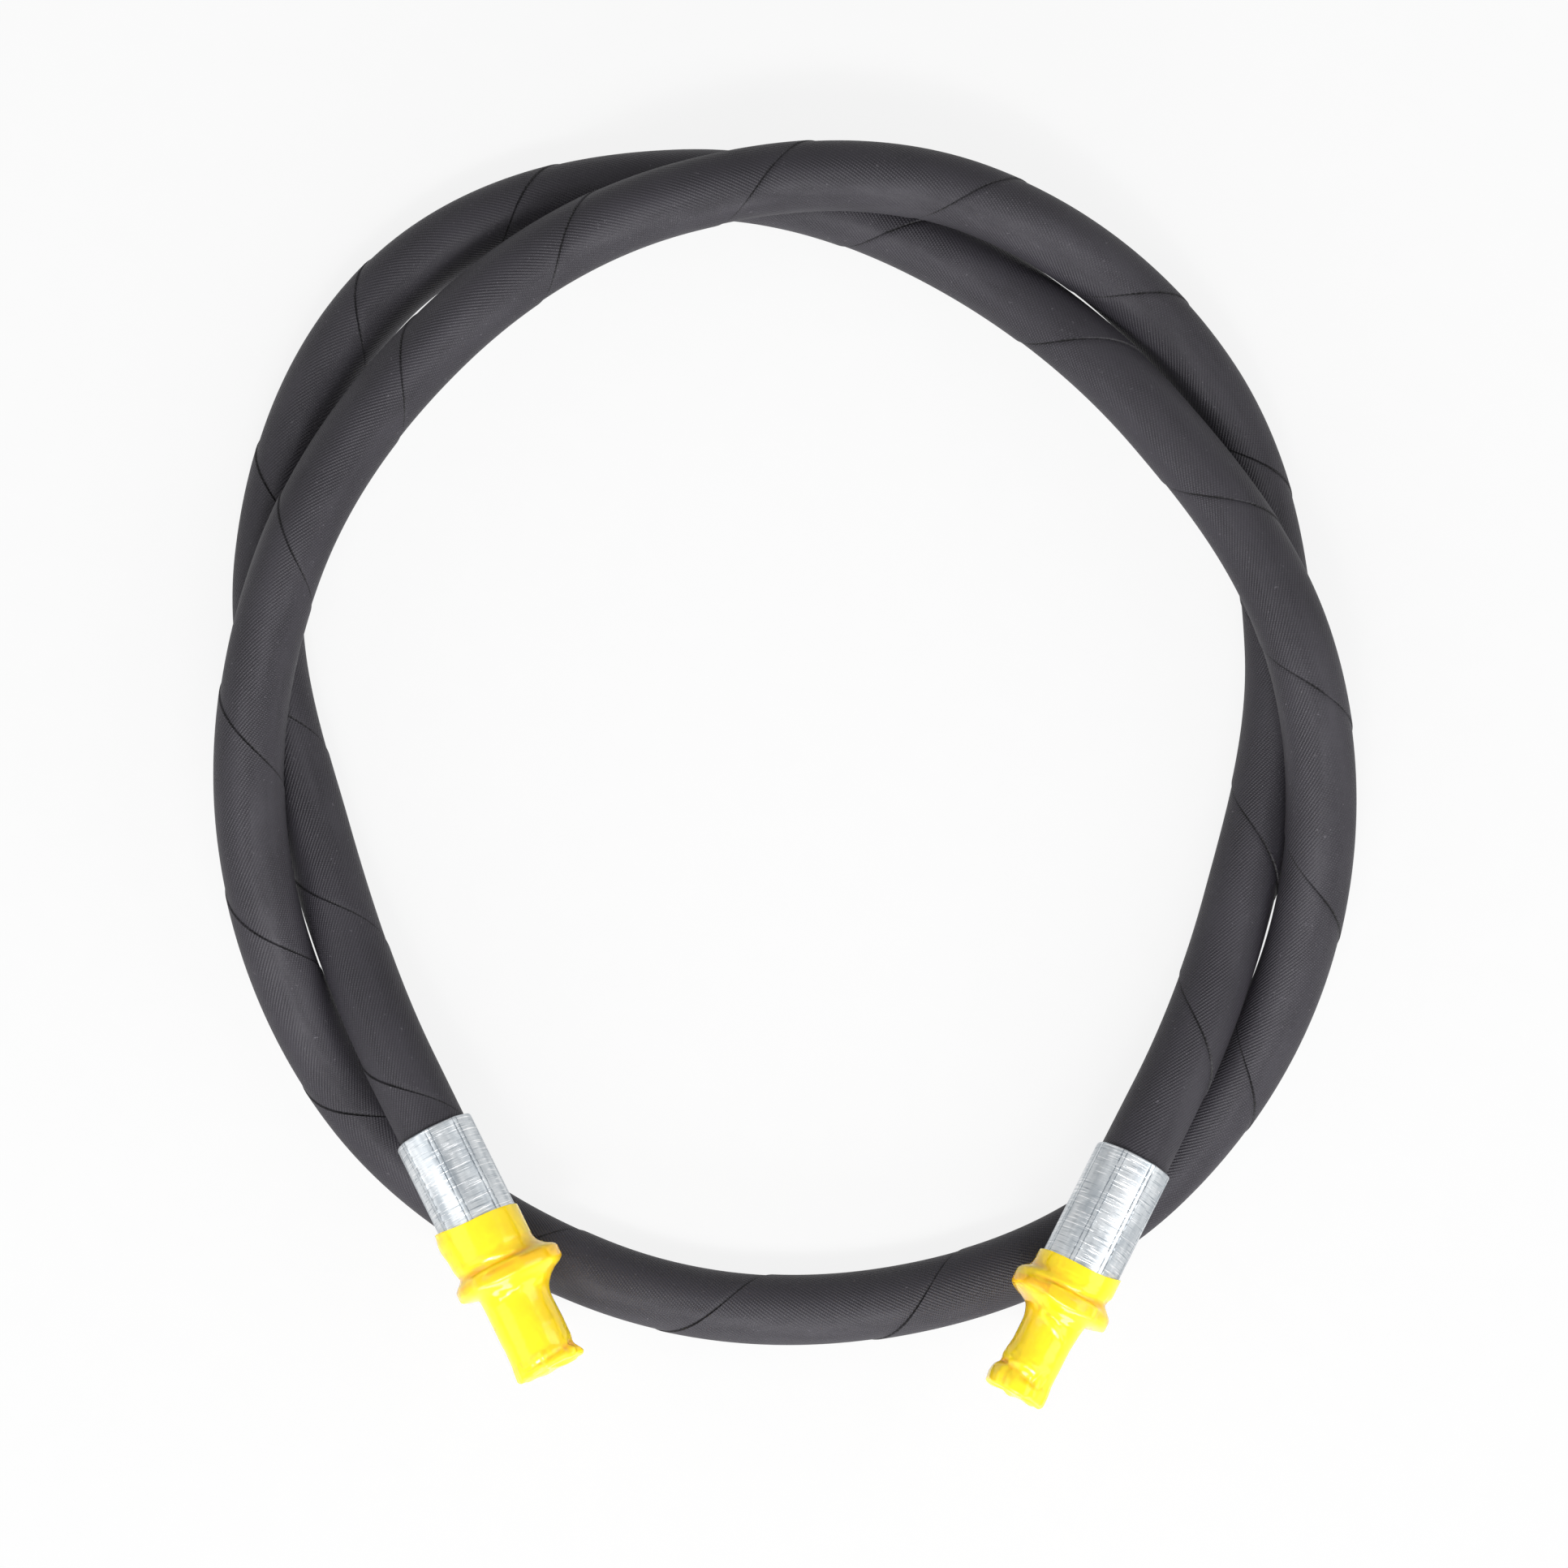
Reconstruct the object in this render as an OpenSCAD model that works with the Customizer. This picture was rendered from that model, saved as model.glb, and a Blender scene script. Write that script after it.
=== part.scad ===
// Coiled high pressure hose with a crimped fitting at each end.
// The hose lies flat on the floor in a little under two turns. Its ends, A and B, rest on the
// turn below them, and each fitting is closed by a shrunk plastic cap.

/* [Hose] */
// Bore of the inner tube
hose_bore = 25.4; // [19:0.1:31]
// Wall of the rubber inner tube
tube_wall = 2.2; // [1.5:0.05:3]
// Thickness of each wire braid
braid_wall = 0.95; // [0.6:0.05:1.3]
// Thickness of the rubber ply between the braids
ply_wall = 0.5; // [0.3:0.05:1]
// Wall of the rubber cover
cover_wall = 1.65; // [1.2:0.05:2.4]
// Space left between bonded layers
bond_gap = 0.02; // [0.01:0.01:0.05]

/* [Coil] */
// Length of the coil between the middles of the hose, along its long axis
coil_l = 614; // [500:1:760]
// Width of the coil, across its long axis
coil_w = 552; // [450:1:700]
// Direction of the coil's long axis, from +X
coil_turn = 105; // [95:1:115]
// Direction in which the coil starts, at end A, from +X
coil_start = 220.5; // [215:0.5:225]
// Angle through which the hose winds, clockwise seen from above
coil_sweep = 623.5; // [600:0.5:630]
// Space between turns that lie on or beside each other
lay_gap = 0.8; // [0.6:0.1:3]
// Middle of the coil, along X
coil_x = -0.2; // [-20:0.1:20]
// Middle of the coil, along Y
coil_y = 17.3; // [-20:0.1:40]

/* [Ferrules] */
// Wall of a crimped ferrule over the wire
ferrule_wall = 4.35; // [3.5:0.05:5.5]
// Length of a ferrule
ferrule_l = 72; // [60:0.5:90]
// Length of hose cover that the mouth of a ferrule holds
cover_tuck = 10; // [5:0.5:15]
// Radius of the rounded mouth edge
mouth_round = 1.2; // [0.4:0.1:1.3]
// Thickness of the inner lip that locks on the stem
lock_lip = 5; // [3:0.5:8]
// Height of that lip above the bore over the wire
lock_h = 3.5; // [2:0.1:4]
// Number of crimping jaws, with a strip left between each two
jaw_count = 8; // [6:1:10]
// Width of a strip between two jaws
jaw_strip_w = 2.6; // [1.5:0.1:4]
// Width of the line that a jaw presses along each edge of a strip
jaw_line_w = 0.5; // [0.3:0.1:1]
// Depth of that line
jaw_line_d = 0.25; // [0.15:0.05:0.6]
// Turn of the jaws round ferrule A
jaw_turn_a = 3; // [0:1:45]
// Turn of the jaws round ferrule B
jaw_turn_b = 27; // [0:1:45]
// Number of grip grooves inside a ferrule
grip_count = 4; // [2:1:6]
// Depth of a grip groove
grip_d = 0.75; // [0.3:0.05:1.2]

/* [Stems] */
// Wall of the stem's tail, inside the hose
tail_wall = 2.1; // [1.5:0.1:3]
// Number of barbs on the tail
barb_count = 7; // [4:1:10]
// Height of a barb
barb_h = 0.7; // [0.3:0.1:1.2]
// Thickness of the collar that the hose end butts against
collar_t = 5; // [3:0.5:8]
// Width of the hexagon across its flats
hex_af = 46; // [43:0.5:60]
// Thickness of the hexagon
hex_t = 8; // [6:0.5:16]
// How far inside the flats the turned faces of the hexagon end
hex_turn = 0.8; // [0.4:0.1:1.5]
// Length of stem between the ferrule and the hexagon
hex_gap = 10; // [7:0.5:20]
// Roll of the fitting at end A, with a flat of its hexagon on top at 0
roll_a = 0; // [-30:1:30]
// Roll of the fitting at end B
roll_b = -6; // [-30:1:30]
// Diameter of the male end A
male_a_d = 33.3; // [30:0.1:40]
// Diameter of the male end B
male_b_d = 27; // [26:0.1:40]
// Length of a male end
male_l = 30; // [22:0.5:40]
// Width of the thread relief next to the hexagon
relief_w = 3; // [2:0.5:5]
// Depth of the thread relief
relief_d = 1.4; // [0.8:0.1:2]
// Half angle of the sealing cone on a male end
cone_half = 37; // [30:1:45]
// Width of the flat rim round the bore, at the tip of the sealing cone
rim_w = 1; // [0.5:0.1:1.5]

/* [Caps] */
// Thickness of the shrunk film
film_t = 0.7; // [0.5:0.05:1.5]
// Length of ferrule A that its cap covers
cap_a_cover = 18; // [5:0.5:30]
// Length of ferrule B that its cap covers
cap_b_cover = 9; // [5:0.5:30]
// Length of cap A past the male end
cap_a_nose = 22; // [18:0.5:40]
// Length of cap B past the male end
cap_b_nose = 21; // [18:0.5:40]
// Length over which the film rises from the ferrule to the hexagon
film_rise = 5; // [3:0.5:6]
// Length over which the film draws in from the hexagon to the male end
film_draw = 10; // [6:0.5:14]
// Width of the pinch before the closed end
pinch_w = 6; // [4:0.5:7]
// Depth of the pinch
pinch_d = 1.6; // [0.5:0.1:3]
// Length of the gathered lip at the closed end
lip_l = 9; // [6:0.5:10]
// How far the lip stands out past the neck
lip_flare = 1.5; // [0:0.1:3]
// Rounding of the closed end
lip_round = 2; // [1:0.1:3]

/* [Hidden] */

// Faces of the hose round its section
sides = 10;
// Rings of the hose in one whole turn, which line up from turn to turn
rings_per_turn = 24;
// Space between pieces that are pushed or pressed together
fit_gap = 0.05;
// Extra length of a shape that cuts right through
overcut = 1;
$fn = 64;

// Radii of the hose layers, at the corners of their section
tube_r = hose_bore / 2 + tube_wall;
inner_braid_r = tube_r + bond_gap + braid_wall;
ply_r = inner_braid_r + bond_gap + ply_wall;
wire_r = ply_r + bond_gap + braid_wall;
hose_r = wire_r + bond_gap + cover_wall;
hose_od = 2 * hose_r;

// Stations of the lay, one every 30 degrees round the coil from end A, with one before and one after.
// A lane is how far the hose runs outside the mean outline, and a lift how high, in hose diameters.
station_step = 30;
lanes = [
    0.62, -0.32, -0.50, 0.28, 0.64, 0.00, -0.55, -0.44, 0.03, 0.41, 0.24, 0.03,
    0.23, 0.54, 0.42, -0.12, -0.44, -0.27, 0.34, 0.47, -0.12, -0.68, -0.32, 0.95
];
lifts = [
    1.42, 0.82, 0.10, 0.00, 0.00, 0.00, 0.16, 0.80, 1.06, 0.44, 0.00, 0.00,
    0.00, 0.08, 0.82, 1.06, 0.86, 1.06, 0.88, 0.14, 0.00, 0.25, 0.96, 1.58
];
floor_z = hose_r * cos(180 / sides);

// Places along a fitting, from the mouth of its ferrule outwards
tail_start = cover_tuck / 2;
ferrule_r = wire_r + fit_gap + ferrule_wall;
lock_start = ferrule_l - lock_lip;
hose_end = lock_start - collar_t;
hex_start = ferrule_l + hex_gap;
male_start = hex_start + hex_t;
male_end = male_start + male_l;

// Radii of a stem
tail_r = hose_bore / 2 * cos(180 / sides) - fit_gap;
tail_root_r = tail_r - barb_h;
stem_bore_r = tail_root_r - tail_wall;
lock_r = wire_r - lock_h;

function unit(v) = v / norm(v);

// Mean outline of the coil, an ellipse about its middle
function mean_r(q) =
    let (f = q - coil_turn, a = coil_w / 2, b = coil_l / 2)
    a * b / norm([b * sin(f), a * cos(f)]);

// Smooth curve through the stations v
function through(v, a) =
    let (i = a / station_step, k = min(floor(i), len(v) - 4), t = i - k)
    let (p = [for (j = [0:3]) v[k + j]])
    (2 * p[1] + (p[2] - p[0]) * t + (2 * p[0] - 5 * p[1] + 4 * p[2] - p[3]) * t * t
        + (3 * p[1] - p[0] - 3 * p[2] + p[3]) * pow(t, 3)) / 2;

// Slope at station k that never carries the curve past a station
function slope(v, k) =
    let (d0 = v[k] - v[k - 1], d1 = v[k + 1] - v[k])
    d0 * d1 <= 0 ? 0 : 2 * d0 * d1 / (d0 + d1);

// Curve through the stations v with no dip below the floor
function climb(v, a) =
    let (i = a / station_step, k = min(floor(i), len(v) - 4), t = i - k)
    let (d = v[k + 2] - v[k + 1], m1 = slope(v, k + 1), m2 = slope(v, k + 2))
    v[k + 1] + m1 * t + (3 * d - 2 * m1 - m2) * t * t + (m1 + m2 - 2 * d) * pow(t, 3);

// Middle of the hose at a degrees round the coil
function lay(a) =
    let (q = coil_start - a, r = mean_r(q) + through(lanes, a) * (hose_od + lay_gap))
    [
        coil_x + r * cos(q),
        coil_y + r * sin(q),
        floor_z + climb(lifts, a) * (hose_od + lay_gap)
    ];

nudge = 0.1;
function heading(a) = unit(lay(min(a + nudge, coil_sweep)) - lay(max(a - nudge, 0)));

// Each end runs straight for one hose diameter before the mouth of its ferrule
out_a = -heading(0);
out_b = heading(coil_sweep);
mouth_a = lay(0) + out_a * hose_od;
mouth_b = lay(coil_sweep) + out_b * hose_od;

// Route of a layer that reaches the length tuck into each ferrule
ring_step = 360 / rings_per_turn;
ring_turns = [for (a = [0:ring_step:coil_sweep - ring_step / 2]) a, coil_sweep];
function route(tuck) = [
    mouth_a + out_a * tuck,
    for (a = ring_turns) lay(a),
    mouth_b + out_b * tuck
];
headings = [-out_a, for (a = ring_turns) heading(a), out_b];

// Least space between two stretches of hose, on points along the faceted route
probes = 12;
rings_apart = 6;
spine = route(0);
spots = [
    for (i = [0:len(spine) - 2], j = [0:probes - 1]) spine[i] + (spine[i + 1] - spine[i]) * j / probes
];
least_gap = min([
    for (i = [0:len(spots) - 1], j = [i + rings_apart * probes:1:len(spots) - 1]) norm(spots[i] - spots[j])
]) - hose_od;
function path_length(p, i = 1, s = 0) =
    i == len(p) ? s : path_length(p, i + 1, s + norm(p[i] - p[i - 1]));
echo(hose_od = hose_od, hose_cut_length = path_length(route(hose_end)), least_gap_between_turns = least_gap);

// One ring of corners square to the heading t, with a face straight down
function ring(p, t, r) =
    let (x = unit(cross([0, 0, 1], t)), y = cross(t, x))
    [for (k = [0:sides - 1]) let (f = (k + 0.5) * 360 / sides - 90) p + r * (cos(f) * x + sin(f) * y)];

// One layer of the hose, an unbroken tube between two radii
module layer(r_in, r_out, tuck) {
    path = route(tuck);
    n = len(path);
    outer = [for (i = [0:n - 1]) each ring(path[i], headings[i], r_out)];
    inner = [for (i = [0:n - 1]) each ring(path[i], headings[i], r_in)];
    o = n * sides;
    last = (n - 1) * sides;
    walls = [
        for (i = [0:n - 2], k = [0:sides - 1])
            let (a = i * sides + k, b = i * sides + (k + 1) % sides, c = a + sides, d = b + sides)
            each [
                [a, c, b], [b, c, d],
                [o + a, o + b, o + c], [o + b, o + d, o + c]
            ]
    ];
    rims = [
        for (k = [0:sides - 1])
            let (k1 = (k + 1) % sides, a = last + k, b = last + k1)
            each [
                [k, k1, o + k], [k1, o + k1, o + k],
                [a, o + a, b], [b, o + a, o + b]
            ]
    ];
    polyhedron(points = concat(outer, inner), faces = concat(walls, rims), convexity = 10);
}

// Stands a fitting on its end of the hose, with +Z outwards and +Y upwards, and rolls it
module fitting_at(mouth, out, roll) {
    x = unit(cross([0, 0, 1], out));
    y = cross(out, x);
    multmatrix([
        [x[0], y[0], out[0], mouth[0]],
        [x[1], y[1], out[1], mouth[1]],
        [x[2], y[2], out[2], mouth[2]],
        [0, 0, 0, 1]
    ])
        rotate(roll) children();
}

// Crimped sleeve: a mouth over the cover, grip grooves over the wire and a lip on the stem
module ferrule(jaw_turn) {
    wire_bore = wire_r + fit_gap;
    round_r = min(mouth_round, ferrule_r - hose_r - 2 * fit_gap);
    grip_step = (lock_start - cover_tuck) / grip_count;
    difference() {
        rotate_extrude()
            difference() {
                union() {
                    translate([0, round_r]) square([ferrule_r, ferrule_l - round_r]);
                    square([ferrule_r - round_r, round_r * 2]);
                    translate([ferrule_r - round_r, round_r]) circle(round_r);
                }
                square([hose_r + fit_gap, cover_tuck + fit_gap]);
                square([wire_bore, lock_start]);
                square([lock_r + fit_gap, ferrule_l]);
                for (i = [0:grip_count - 1])
                    translate([0, cover_tuck + (i + 0.25) * grip_step])
                        square([wire_bore + grip_d, grip_step / 2]);
            }
        for (i = [0:jaw_count - 1], edge = [-1, 1])
            rotate(jaw_turn + i * 360 / jaw_count)
                translate([ferrule_r - jaw_line_d, (edge * jaw_strip_w - jaw_line_w) / 2, round_r * 2])
                    cube([jaw_line_d + overcut, jaw_line_w, ferrule_l]);
    }
}

// Hexagon with its corners turned down on both faces, grown all round
module hexagon(grow) {
    corner_r = (hex_af / 2 + grow) / cos(30);
    face_r = hex_af / 2 + grow - hex_turn;
    drop = (corner_r - face_r) * tan(30);
    height = hex_t + 2 * grow;
    translate([0, 0, hex_start - grow])
        intersection() {
            cylinder(r = corner_r, h = height, $fn = 6);
            rotate_extrude()
                polygon([
                    [0, 0], [face_r, 0], [corner_r, drop],
                    [corner_r, height - drop], [face_r, height], [0, height]
                ]);
        }
}

// Machined stem: barbed tail, collar, lock groove, hexagon and male end with a sealing cone
module stem(male_r) {
    barb_step = (hose_end - tail_start) / barb_count;
    cone_tip_r = stem_bore_r + rim_w;
    cone_base_r = male_r - relief_d;
    cone_l = (cone_base_r - cone_tip_r) / tan(cone_half);
    tail = [
        for (i = [0:barb_count - 1])
            let (u = tail_start + i * barb_step, tip = u + barb_step * 0.8)
            each [[tail_root_r, u], [tail_r, tip - fit_gap], [tail_root_r, tip]]
    ];
    lock = [
        [tail_root_r, hose_end + fit_gap], [tube_r, hose_end + fit_gap],
        [tube_r, lock_start - fit_gap], [lock_r, lock_start - fit_gap],
        [lock_r, ferrule_l + fit_gap], [wire_r, ferrule_l + fit_gap],
        [wire_r, hex_start + overcut], [cone_base_r, hex_start + overcut]
    ];
    male = [
        [cone_base_r, male_start + relief_w], [male_r, male_start + relief_w + relief_d],
        [male_r, male_end - cone_l - relief_d], [cone_base_r, male_end - cone_l],
        [cone_tip_r, male_end]
    ];
    bore = [[stem_bore_r, male_end], [stem_bore_r, tail_start]];
    rotate_extrude() polygon(concat(tail, lock, male, bore));
    difference() {
        hexagon(0);
        cylinder(r = stem_bore_r + rim_w, h = male_end);
    }
}

// Room inside a cap that starts at the place start, or its outside when grown by the film
module cap_room(grow, male_r, start, nose) {
    sleeve_r = ferrule_r + fit_gap + grow;
    flat_r = hex_af / 2 + fit_gap + grow;
    neck_r = male_r + fit_gap + grow;
    back = hex_start - fit_gap - grow;
    front = male_start + fit_gap + grow;
    pinch_start = male_end + nose - lip_l - pinch_w;
    lip_r = neck_r + lip_flare;
    tip = male_end + nose - film_t + grow;
    rise = [
        for (f = [0:15:90])
            [sleeve_r + (flat_r - sleeve_r) * (1 - cos(f)), back - film_rise * (1 - sin(f))]
    ];
    draw = [
        for (f = [0:15:90])
            [neck_r + (flat_r - neck_r) * (1 - sin(f)), front + film_draw * (1 - cos(f))]
    ];
    pinch = [
        for (f = [0:30:180])
            [neck_r + lip_flare * f / 180 - pinch_d * sin(f), pinch_start + pinch_w * f / 180]
    ];
    end = [[lip_r, tip - lip_round], [lip_r - lip_round, tip], [0, tip]];
    rotate_extrude()
        polygon(concat([[0, start], [sleeve_r, start]], rise, draw, pinch, end));
    hexagon(fit_gap + grow);
}

// Shrunk plastic cap that follows the ferrule's end, the hexagon and the male end
module cap(male_r, cover, nose) {
    start = ferrule_l - cover;
    difference() {
        cap_room(film_t, male_r, start, nose);
        cap_room(0, male_r, start - overcut, nose);
    }
}

module hose_cover() {
    color("#2b2a2c") layer(wire_r + bond_gap, hose_r, cover_tuck);
}

module outer_wire_braid() {
    color("#9a9ea2") layer(ply_r + bond_gap, wire_r, hose_end);
}

module braid_ply() {
    color("#232224") layer(inner_braid_r + bond_gap, ply_r, hose_end);
}

module inner_wire_braid() {
    color("#8d9296") layer(tube_r + bond_gap, inner_braid_r, hose_end);
}

module inner_tube() {
    color("#1b1b1d") layer(hose_bore / 2, tube_r, hose_end);
}

module ferrule_a() {
    color("#c6cacd") fitting_at(mouth_a, out_a, roll_a) ferrule(jaw_turn_a);
}

module ferrule_b() {
    color("#c6cacd") fitting_at(mouth_b, out_b, roll_b) ferrule(jaw_turn_b);
}

module stem_a() {
    color("#b9bec2") fitting_at(mouth_a, out_a, roll_a) stem(male_a_d / 2);
}

module stem_b() {
    color("#b9bec2") fitting_at(mouth_b, out_b, roll_b) stem(male_b_d / 2);
}

module cap_a() {
    color("#f6d813") fitting_at(mouth_a, out_a, roll_a) cap(male_a_d / 2, cap_a_cover, cap_a_nose);
}

module cap_b() {
    color("#f6d813") fitting_at(mouth_b, out_b, roll_b) cap(male_b_d / 2, cap_b_cover, cap_b_nose);
}

hose_cover();
outer_wire_braid();
braid_ply();
inner_wire_braid();
inner_tube();
ferrule_a();
ferrule_b();
stem_a();
stem_b();
cap_a();
cap_b();
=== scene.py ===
import math

import bpy
import numpy as np
from mathutils import Matrix


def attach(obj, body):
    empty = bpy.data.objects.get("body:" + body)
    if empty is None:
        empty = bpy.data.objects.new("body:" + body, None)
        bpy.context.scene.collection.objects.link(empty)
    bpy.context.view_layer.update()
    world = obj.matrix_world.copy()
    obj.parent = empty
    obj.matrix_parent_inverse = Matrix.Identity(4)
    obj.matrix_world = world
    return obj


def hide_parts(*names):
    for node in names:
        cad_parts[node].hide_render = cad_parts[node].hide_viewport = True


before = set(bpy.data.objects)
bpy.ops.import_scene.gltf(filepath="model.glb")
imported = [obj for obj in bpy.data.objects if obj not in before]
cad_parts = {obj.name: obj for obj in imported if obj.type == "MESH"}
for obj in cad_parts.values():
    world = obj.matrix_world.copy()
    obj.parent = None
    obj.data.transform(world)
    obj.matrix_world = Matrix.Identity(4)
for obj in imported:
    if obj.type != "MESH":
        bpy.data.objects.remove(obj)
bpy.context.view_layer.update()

# Lengths below are in mm and angles in degrees, in the CAD model's frame. Points become metres in add_piece().
MM = 0.001
UP = np.array([0.0, 0.0, 1.0])

# Hose, as in the part's source
HOSE_R = 19.03
HOSE_OD = 2 * HOSE_R
HOSE_LAYERS = {
    "cover": (17.38, 19.03),
    "outer_braid": (16.41, 17.36),
    "ply": (15.89, 16.39),
    "inner_braid": (14.92, 15.87),
    "tube": (12.70, 14.90),
}
COVER_TUCK = 10
HOSE_END = 62
# Room left between pieces that lie in each other
FIT_GAP = 0.05

# Lay of the coil, nearly as in the part's source: stations every 30 degrees from end A, in lanes outwards from the
# mean outline and in lifts off the floor, each a hose diameter and a gap. The CAD model's turns are faceted and keep
# clear of each other; these round ones lie up to 4 mm closer, so that they touch.
COIL_L = 614
COIL_W = 552
COIL_TURN = 105
COIL_START = 220.5
COIL_SWEEP = 623.5
COIL_X = -0.2
COIL_Y = 17.3
LAY_GAP = 0.8
LANE = HOSE_OD + LAY_GAP
# The CAD hose has ten sides and rests on one of them
FLOOR_Z = HOSE_R * math.cos(math.pi / 10)
STATION_STEP = 30
LANES = np.array([
    0.649, -0.320, -0.471, 0.269, 0.640, 0.007, -0.493, -0.449, 0.070, 0.325, 0.261, 0.030,
    0.230, 0.549, 0.332, -0.110, -0.453, -0.296, 0.302, 0.464, -0.092, -0.652, -0.313, 1.113,
])
LIFTS = np.array([
    1.42, 0.82, 0.10, 0.00, 0.00, 0.00, 0.16, 0.797, 1.087, 0.462, 0.00, 0.00,
    0.00, 0.075, 0.815, 1.06, 0.86, 1.06, 0.88, 0.137, 0.00, 0.25, 0.96, 1.58,
])

# Wrapping tape that left its weave and its edge on the cover. The edge runs round the hose once a lead,
# and wandered along it by the drift as the tape was wound on.
TAPE_LEAD = 109.6
TAPE_START = -149.7
TAPE_DRIFT_AT = [
    0, 140, 242, 377, 475, 583, 788, 912, 1026, 1130, 1241, 1351,
    2015, 2121, 2228, 2336, 2449, 2560, 2670, 2771, 2891, 3094, 3205,
]
TAPE_DRIFT = [
    -4.1, -4.1, -1.4, 3.7, 2.0, -2.4, -9.4, -0.7, 4.3, 1.7, 2.6, -0.6,
    9.6, 6.0, -0.5, -0.4, 3.5, 5.1, 6.3, -1.2, 0.1, -9.7, -7.8,
]
ROUND_HOSE = 2 * math.pi * HOSE_R
TAPE_EDGE = math.hypot(TAPE_LEAD, ROUND_HOSE)
TAPE_W = ROUND_HOSE * TAPE_LEAD / TAPE_EDGE
# The edge is a groove in the cover. From it the cover rises a little, across the tape's width, up to the next groove.
GROOVE_D = 0.75
GROOVE_W = 0.75
RISE_FROM = -0.45
RISE_TO = 0.12
# Ribs and threads of its weave, 1.58 and 1.2 mm apart: how each slants to the hose, against the edge's slant of -47.5
# degrees, and whole numbers of them round the hose, so that the weave meets itself
RIB_SLANT = 35
RIBS_ROUND = 62
THREAD_SLANT = -70
THREADS_ROUND = 34

# Fittings: places along them are measured outwards from the mouth of the ferrule
FERRULE_R = 21.76
FERRULE_L = 72
MOUTH_R = HOSE_R + 0.15
MOUTH_ROUND = 1.2
END_CHAMFER = 0.4
JAWS = 8
JAW_STRIP_W = 2.6
JAW_LINE_W = 0.5
JAW_LINE_D = 0.25
JAW_TURN_A = 3
JAW_TURN_B = 27
LOCK_START = 67
LOCK_R = 13.86
GRIPS = 4
GRIP_D = 0.75
TAIL_START = 5
TAIL_R = 12.03
BARBS = 7
BARB_H = 0.7
STEM_BORE_R = 9.23
HEX_START = 82
HEX_T = 8
HEX_AF = 46
HEX_TURN = 0.8
HEX_CORNER_R = HEX_AF / 2 / math.cos(math.radians(30))
MALE_R_A = 16.65
MALE_R_B = 13.5
MALE_START = 90
MALE_END = 120
RELIEF_W = 3
RELIEF_D = 1.4
CONE_HALF = 37
RIM_W = 1
THREAD_PITCH = 2
# Film of the caps: its thickness, how far it stands off what it covers, how softly it rounds that, and the distance
# from the middle at which its folds are laid out
FILM_T = 0.7
FILM_GAP = 0.12
FILM_SOFT = 0.6
FOLD_R = 19


def linear(colour):
    """An sRGB hex colour as linear light."""
    parts = [int(colour[k:k + 2], 16) / 255 for k in (1, 3, 5)]
    return (*(c / 12.92 if c <= 0.04045 else ((c + 0.055) / 1.055) ** 2.4 for c in parts), 1.0)


def unit(v):
    return v / np.linalg.norm(v, axis=-1, keepdims=True)


def ease(x, low, high):
    t = np.clip((np.asarray(x, float) - low) / (high - low), 0, 1)
    return t * t * (3 - 2 * t)


# Camera: straight above the coil, with both fittings at the lower edge of the picture

camera = bpy.data.objects.new("camera_above_coil", bpy.data.cameras.new("camera_above_coil"))
camera.data.sensor_width = 36
camera.data.lens = 118.05
camera.location = (-0.0002, -0.0051, 2.8)
bpy.context.scene.collection.objects.link(camera)
bpy.context.scene.camera = camera
bpy.context.scene.view_settings.view_transform = "Standard"


# Route of the hose

def mean_r(q):
    f = np.radians(q - COIL_TURN)
    a, b = COIL_W / 2, COIL_L / 2
    return a * b / np.hypot(b * np.sin(f), a * np.cos(f))


def station(v, a):
    i = a / STATION_STEP
    k = np.minimum(np.floor(i), len(v) - 4).astype(int)
    return k, i - k


def through(v, a):
    k, t = station(v, a)
    p0, p1, p2, p3 = (v[k + j] for j in range(4))
    bend = (2 * p0 - 5 * p1 + 4 * p2 - p3) * t ** 2 + (3 * p1 - p0 - 3 * p2 + p3) * t ** 3
    return (2 * p1 + (p2 - p0) * t + bend) / 2


def slope(v, k):
    before, after = v[k] - v[k - 1], v[k + 1] - v[k]
    both = before + after
    same_way = before * after > 0
    return np.where(same_way, 2 * before * after / np.where(same_way, both, 1), 0)


def climb(v, a):
    k, t = station(v, a)
    d, m1, m2 = v[k + 2] - v[k + 1], slope(v, k + 1), slope(v, k + 2)
    return v[k + 1] + m1 * t + (3 * d - 2 * m1 - m2) * t ** 2 + (m1 + m2 - 2 * d) * t ** 3


def lay(a):
    """Middle of the hose at a degrees round the coil from end A."""
    a = np.asarray(a, float)
    q = COIL_START - a
    r = mean_r(q) + through(LANES, a) * LANE
    f = np.radians(q)
    return np.stack([COIL_X + r * np.cos(f), COIL_Y + r * np.sin(f), FLOOR_Z + climb(LIFTS, a) * LANE], -1)


OUT_A = unit(lay(0) - lay(0.1))
OUT_B = unit(lay(COIL_SWEEP) - lay(COIL_SWEEP - 0.1))
MOUTH_A = lay(0) + OUT_A * HOSE_OD
MOUTH_B = lay(COIL_SWEEP) + OUT_B * HOSE_OD


def hose_line(tuck):
    """Centreline that reaches tuck into each ferrule: distances along it, points, and sideways and upward axes."""
    run = np.linspace(HOSE_OD + tuck, 0, 24, endpoint=False)[:, None]
    coil = lay(np.linspace(0, COIL_SWEEP, 1400))
    points = np.concatenate([coil[0] + OUT_A * run, coil, coil[-1] + OUT_B * run[::-1]])
    s = np.concatenate([[0], np.cumsum(np.linalg.norm(np.diff(points, axis=0), axis=1))])
    along = unit(np.gradient(points, s, axis=0))
    side = unit(np.cross(UP, along))
    return s, points, side, np.cross(along, side)


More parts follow.
